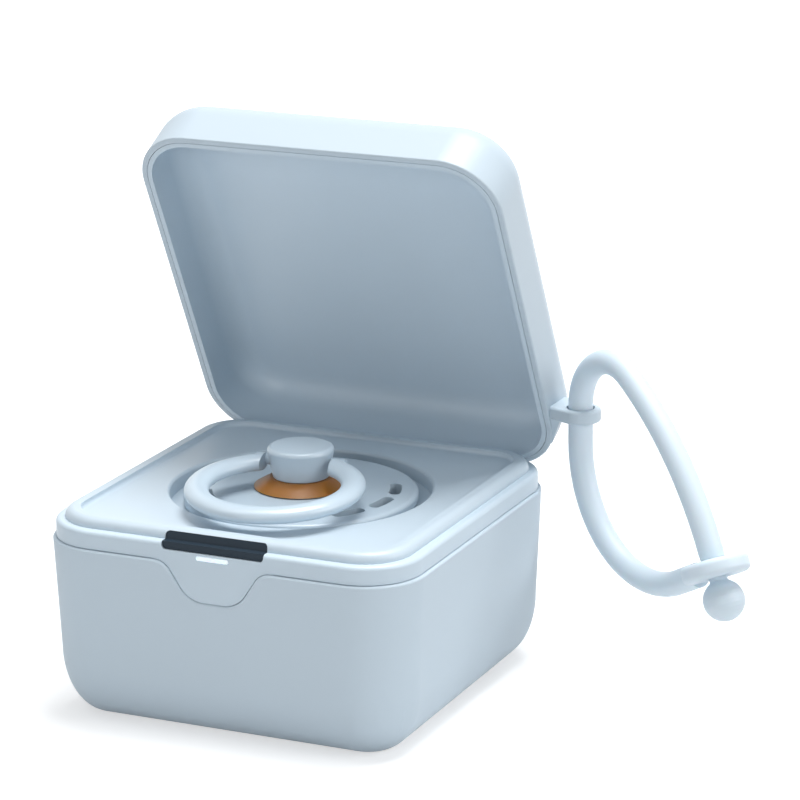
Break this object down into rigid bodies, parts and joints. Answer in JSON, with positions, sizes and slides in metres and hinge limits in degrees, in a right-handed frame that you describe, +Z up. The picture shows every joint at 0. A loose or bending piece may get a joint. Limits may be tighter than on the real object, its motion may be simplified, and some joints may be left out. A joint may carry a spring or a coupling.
{
  "type": "pacifier sterilizer case",
  "caption": "Rounded-square pacifier case with a half-open hinged lid, a sunk tray that holds a ring pacifier over a lamp-lit well, and a moulded carry loop.",
  "frame": {"origin": "centre of the flat bottom face, at the height of the surface that the case stands on", "axes": "+Z up, +Y from the front slot towards the hinge, +X towards the side with the carry loop"},
  "size_m": [0.1314, 0.0932, 0.1145],
  "materials": {
    "sleeve": "satin pale blue silicone",
    "case_plastic": "satin pale blue",
    "lid_plastic": "satin pale blue",
    "liner_plastic": "satin grey blue",
    "tray_plastic": "satin pale blue",
    "cup_plastic": "bright reflective",
    "quartz": "clear",
    "seal_rubber": "matte",
    "board": "green laminate",
    "diode": "ceramic body",
    "keeper": "dark",
    "light_guide": "milky",
    "chip": "black moulding",
    "cell": "foil pouch",
    "foam": "foam",
    "connector": "plated",
    "steel": "plain",
    "magnet": "plated",
    "loop_rubber": "smooth",
    "pacifier_plastic": "glossy pale blue",
    "amber": "amber silicone"
  },
  "bodies": {
    "case": {"outer_sleeve": "sleeve", "base_shell": "case_plastic", "tray_deck": "tray_plastic", "chamber_cup": "cup_plastic", "quartz_window": "quartz", "window_seal": "seal_rubber", "uv_board": "board", "uv_emitters": "diode", "keeper_plate": "keeper", "light_pipe": "light_guide", "status_led": "diode", "sensor_board": "board", "hall_sensor": "chip", "battery_cell": "cell", "battery_pad": "foam", "main_board": "board", "control_chip": "chip", "usb_socket": "connector", "deck_screws": "steel", "hinge_pin": "steel"},
    "lid": {"lid_shell": "lid_plastic", "lid_liner": "liner_plastic", "lid_magnet": "magnet"},
    "loop": {"carry_loop": "loop_rubber"},
    "pacifier": {"pacifier_shield": "pacifier_plastic", "pacifier_knob": "pacifier_plastic", "pacifier_nipple": "amber"},
    "ring": {"pacifier_ring": "pacifier_plastic"}
  },
  "joints": [
    {"name": "lid_hinge", "type": "hinge", "parent": "case", "child": "lid", "pos_m": [0, 0.0385, 0.0385], "axis": [-1, 0, 0], "range_deg": [-63.3, 26.7]},
    {"name": "loop_swivel", "type": "hinge", "parent": "lid", "child": "loop", "pos_m": [0.046, 0.03717, 0.05182], "axis": [0, 0.0052, 1], "range_deg": [-25, 60]},
    {"name": "pacifier_lift", "type": "slide", "parent": "case", "child": "pacifier", "axis": [0, -0.2588, 0.9659], "range_m": [0, 0.06]},
    {"name": "ring_flip", "type": "hinge", "parent": "pacifier", "child": "ring", "pos_m": [0, 0, 0.0467], "axis": [-0.9936, -0.1132, 0], "range_deg": [0, 184]}
  ]
}
